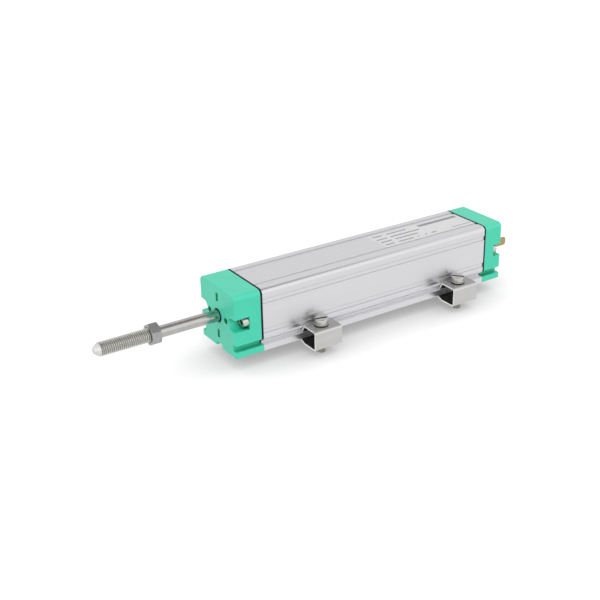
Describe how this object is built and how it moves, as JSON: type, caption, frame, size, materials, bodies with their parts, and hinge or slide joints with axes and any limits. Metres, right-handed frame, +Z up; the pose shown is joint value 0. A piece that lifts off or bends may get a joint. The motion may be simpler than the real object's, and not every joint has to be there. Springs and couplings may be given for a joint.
{
  "type": "linear potentiometer",
  "caption": "Long square extruded housing with moulded end caps, a threaded push rod at one end, a blade connector at the other and folded hook clamps along its lower grooves.",
  "frame": {"origin": "centre of the four clamp screws, on the plane that the feet of the clamps stand on", "axes": "+X along the push rod's axis from its threaded end towards the connector, +Z up from the clamps' feet to the flat top, +Y to the left seen from the connector end towards the rod"},
  "size_m": [0.2462, 0.0562, 0.0402],
  "materials": {
    "body_aluminium": "satin silver anodised extrusion",
    "green_plastic": "light green moulded plastic, satin",
    "gasket_rubber": "black rubber sheet",
    "seal_rubber": "black rubber",
    "bush_plastic": "dark filled bearing plastic",
    "board_laminate": "green glass-fibre laminate",
    "track_carbon": "conductive plastic track",
    "contact_base_plastic": "black moulded plastic",
    "contact_brass": "tarnished brass",
    "carriage_plastic": "natural acetal",
    "rod_steel": "ground stainless steel",
    "nut_steel": "stainless steel",
    "screw_steel": "zinc plated steel",
    "clamp_steel": "stainless sheet steel",
    "washer_steel": "blackened spring steel"
  },
  "bodies": {
    "housing": {"profile": "body_aluminium", "front_cap": "green_plastic", "rear_cap": "green_plastic", "front_gasket": "gasket_rubber", "rear_gasket": "gasket_rubber", "front_cap_screws": "screw_steel", "rear_cap_screws": "screw_steel", "rod_seal": "seal_rubber", "rod_bush": "bush_plastic", "front_bumper": "seal_rubber", "rear_bumper": "seal_rubber", "track_board": "board_laminate", "resistive_track": "track_carbon", "collector_track": "track_carbon", "connector_base": "contact_base_plastic", "connector_blades": "contact_brass", "connector_insert": "contact_brass", "track_leads": "contact_brass"},
    "carriage": {"carriage": "carriage_plastic", "ball_retainer": "carriage_plastic", "wiper_contacts": "contact_brass"},
    "rod": {"control_rod": "rod_steel", "lock_nut": "nut_steel"},
    "clamp_front_right": {"clamp_front_right": "clamp_steel", "lock_washer_front_right": "washer_steel", "clamp_screw_front_right": "screw_steel"},
    "clamp_rear_right": {"clamp_rear_right": "clamp_steel", "lock_washer_rear_right": "washer_steel", "clamp_screw_rear_right": "screw_steel"},
    "clamp_front_left": {"clamp_front_left": "clamp_steel", "lock_washer_front_left": "washer_steel", "clamp_screw_front_left": "screw_steel"},
    "clamp_rear_left": {"clamp_rear_left": "clamp_steel", "lock_washer_rear_left": "washer_steel", "clamp_screw_rear_left": "screw_steel"}
  },
  "joints": [
    {"name": "rod_stroke", "type": "slide", "parent": "housing", "child": "carriage", "axis": [-1, 0, 0], "range_m": [-0.025, 0.08]},
    {"name": "rod_spin", "type": "hinge", "parent": "carriage", "child": "rod", "pos_m": [0.02299, 0, 0.02], "axis": [-1, 0, 0], "continuous": true},
    {"name": "clamp_front_right_slide", "type": "slide", "parent": "housing", "child": "clamp_front_right", "axis": [1, 0, 0], "range_m": [-0.022, 0.036]},
    {"name": "clamp_rear_right_slide", "type": "slide", "parent": "housing", "child": "clamp_rear_right", "axis": [1, 0, 0], "range_m": [-0.036, 0.0135]},
    {"name": "clamp_front_left_slide", "type": "slide", "parent": "housing", "child": "clamp_front_left", "axis": [1, 0, 0], "range_m": [-0.022, 0.036]},
    {"name": "clamp_rear_left_slide", "type": "slide", "parent": "housing", "child": "clamp_rear_left", "axis": [1, 0, 0], "range_m": [-0.036, 0.0135]}
  ]
}
